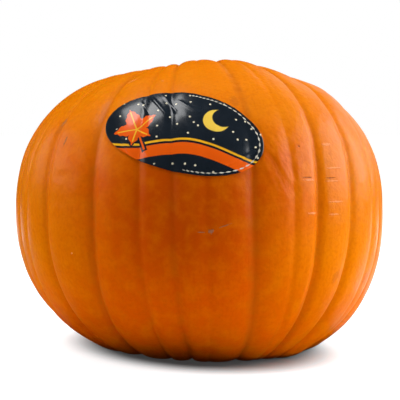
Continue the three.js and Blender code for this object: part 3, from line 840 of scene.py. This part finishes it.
def card_material():
    """White opal sheet over a light table: matte plastic that only the camera sees glowing white,
    so it shows a clean white with no horizon. The glow is taken out in an oval under the fruit,
    where the sheet shows its own pale grey, and that paints a short soft shadow."""
    material, tree = new_material("opal_sheet")
    place = add(tree, "TexCoord", {}, out=3)
    grain = add(tree, "TexNoise", {"Vector": place, "Scale": 30.0, "Detail": 2.0})
    colour = add(tree, "Mix", {0: grain, 6: srgb("#a8b3b5"), 7: srgb("#aeb9bb")}, out=2,
                 data_type="RGBA")
    mask = add(tree, "Mapping", {
        "Vector": place, "Rotation": (0.0, 0.0, mask_turn), "Scale": mask_stretch,
    }, vector_type="TEXTURE")
    away = add(tree, "VectorMath", {0: mask}, out=1, operation="LENGTH")
    # Painted shadow: the glow that the camera sees is nearly nothing inside the oval.
    glow_with_painted_shadow = add(tree, "MapRange", {0: away, 1: mask_radius, 2: glow_radius, 3: 0.04, 4: 0.93},
                    interpolation_type="SMOOTHSTEP")
    seen = add(tree, "LightPath", {}, out=0)
    glow = add(tree, "Math", {0: seen, 1: glow_with_painted_shadow}, operation="MULTIPLY")
    shader = add(tree, "BsdfPrincipled", {
        "Base Color": colour, "Roughness": 0.8, "Specular IOR Level": 0.0,
        "Emission Color": srgb("#fffefe"), "Emission Strength": glow,
    })
    add(tree, "OutputMaterial", {"Surface": shader})
    return material


floor.data.materials.append(card_material())
floor.visible_glossy = False
floor.visible_diffuse = False

# Each panel: azimuth and elevation of its middle, distance, width and height in metres, watts, and
# whether its sheen is seen. A polarising filter takes away the sheen of the others. Those named
# table are parts of the light table, so they lie on the floor and shine upwards, and the sheet's
# own bounce is left out, because they stand for it.
panels = {
    "right_panel": (95, 22, 1.2, 1.5, 0.8, 11.8, True),
    "left_panel": (-97, 21, 1.3, 1.5, 0.5, 2.4, True),
    "top_panel": (-88, 69, 1.2, 0.5, 0.4, 2.4, True),
    "rim_panel": (152, 22, 1.2, 0.5, 0.8, 1.0, True),
    "right_fill": (92, 25, 1.2, 0.6, 1.0, 2.8, False),
    "left_fill": (-108, 26, 1.3, 1.2, 1.4, 4.8, False),
    "top_fill": (-50, 80, 1.2, 0.8, 0.6, 9.8, False),
    "table_left": (-90, 0, 0.66, 2.4, 1.08, 11.8, False),
    "table_right": (90, 0, 0.66, 2.4, 1.08, 12.0, False),
    "table_front": (0, 0, 0.66, 0.24, 1.08, 0.8, False),
    "table_corner": (48, 0, 0.36, 0.32, 0.3, 0.3, False),
    "table_near": (40, 0, 0.114, 0.11, 0.05, 0.008, False),
    "table_foot_right": (54, 0, 0.135, 0.14, 0.07, 0.014, False),
    "table_foot_left": (-50, 0, 0.135, 0.14, 0.07, 0.012, False),
    "table_low_right": (122, 0, 0.34, 0.25, 0.3, 0.19, True),
    "table_low_left": (-122, 0, 0.38, 0.25, 0.24, 0.04, True),
    "table_close_right": (110, 0, 0.2, 0.24, 0.2, 0.05, True),
    "table_close_left": (-110, 0, 0.2, 0.24, 0.2, 0.01, True),
    "table_rim_right": (156, 0, 0.8, 0.6, 0.6, 2.4, True),
    "table_rim_left": (-156, 0, 0.8, 0.6, 0.6, 1.6, True),
    "table_back": (180, 0, 0.66, 0.24, 1.08, 0.8, False),
}
for name, (panel_azimuth, elevation, distance, width, height, watts, sheen) in panels.items():
    light = bpy.data.lights.new(name, "AREA")
    light.shape = "RECTANGLE"
    light.size, light.size_y = width, height
    light.energy = watts
    light.cycles.use_multiple_importance_sampling = sheen
    lamp = bpy.data.objects.new(name, light)
    bpy.context.collection.objects.link(lamp)
    lamp.visible_camera = False
    lamp.visible_glossy = sheen
    away = Vector(direction_to(panel_azimuth, elevation))
    lamp.location = Vector((0, 0, middle_height)) + away * distance
    lamp.rotation_euler = away.to_track_quat("Z", "Y").to_euler()
    if name.startswith("table"):
        lamp.location.z = 1 * mm
        lamp.rotation_euler = (math.pi, 0, math.radians(panel_azimuth))

# The studio's ceiling is a cap of the sky that leans to the back and fades from 18 to 49 degrees
# off its axis, with a filter against its sheen. The camera sees plain white behind the floor.
roof_lean = math.radians(12)
roof_axis = (0.0, math.sin(roof_lean), math.cos(roof_lean))
world = bpy.data.worlds.new("studio_ceiling")
world.use_nodes = True
world.cycles_visibility.glossy = False
bpy.context.scene.world = world
tree = world.node_tree
tree.nodes.clear()
toward = add(tree, "TexCoord", {}, out=0)
height = add(tree, "VectorMath", {0: toward, 1: roof_axis}, out=1, operation="DOT_PRODUCT")
roof_fades, roof_full = 0.65, 0.95  # the cosines of 49 and 18 degrees
glow = add(tree, "MapRange", {0: height, 1: roof_fades, 2: roof_full, 3: 0.01, 4: 0.7},
           interpolation_type="SMOOTHSTEP")
seen = add(tree, "LightPath", {}, out=0)
roof = add(tree, "Background", {"Color": srgb("#ffffff"), "Strength": glow})
backdrop = add(tree, "Background", {"Color": srgb("#ffffff"), "Strength": 1.0})
add(tree, "OutputWorld", {"Surface": add(tree, "MixShader", {0: seen, 1: roof, 2: backdrop})})

bpy.context.scene.view_settings.view_transform = "Standard"
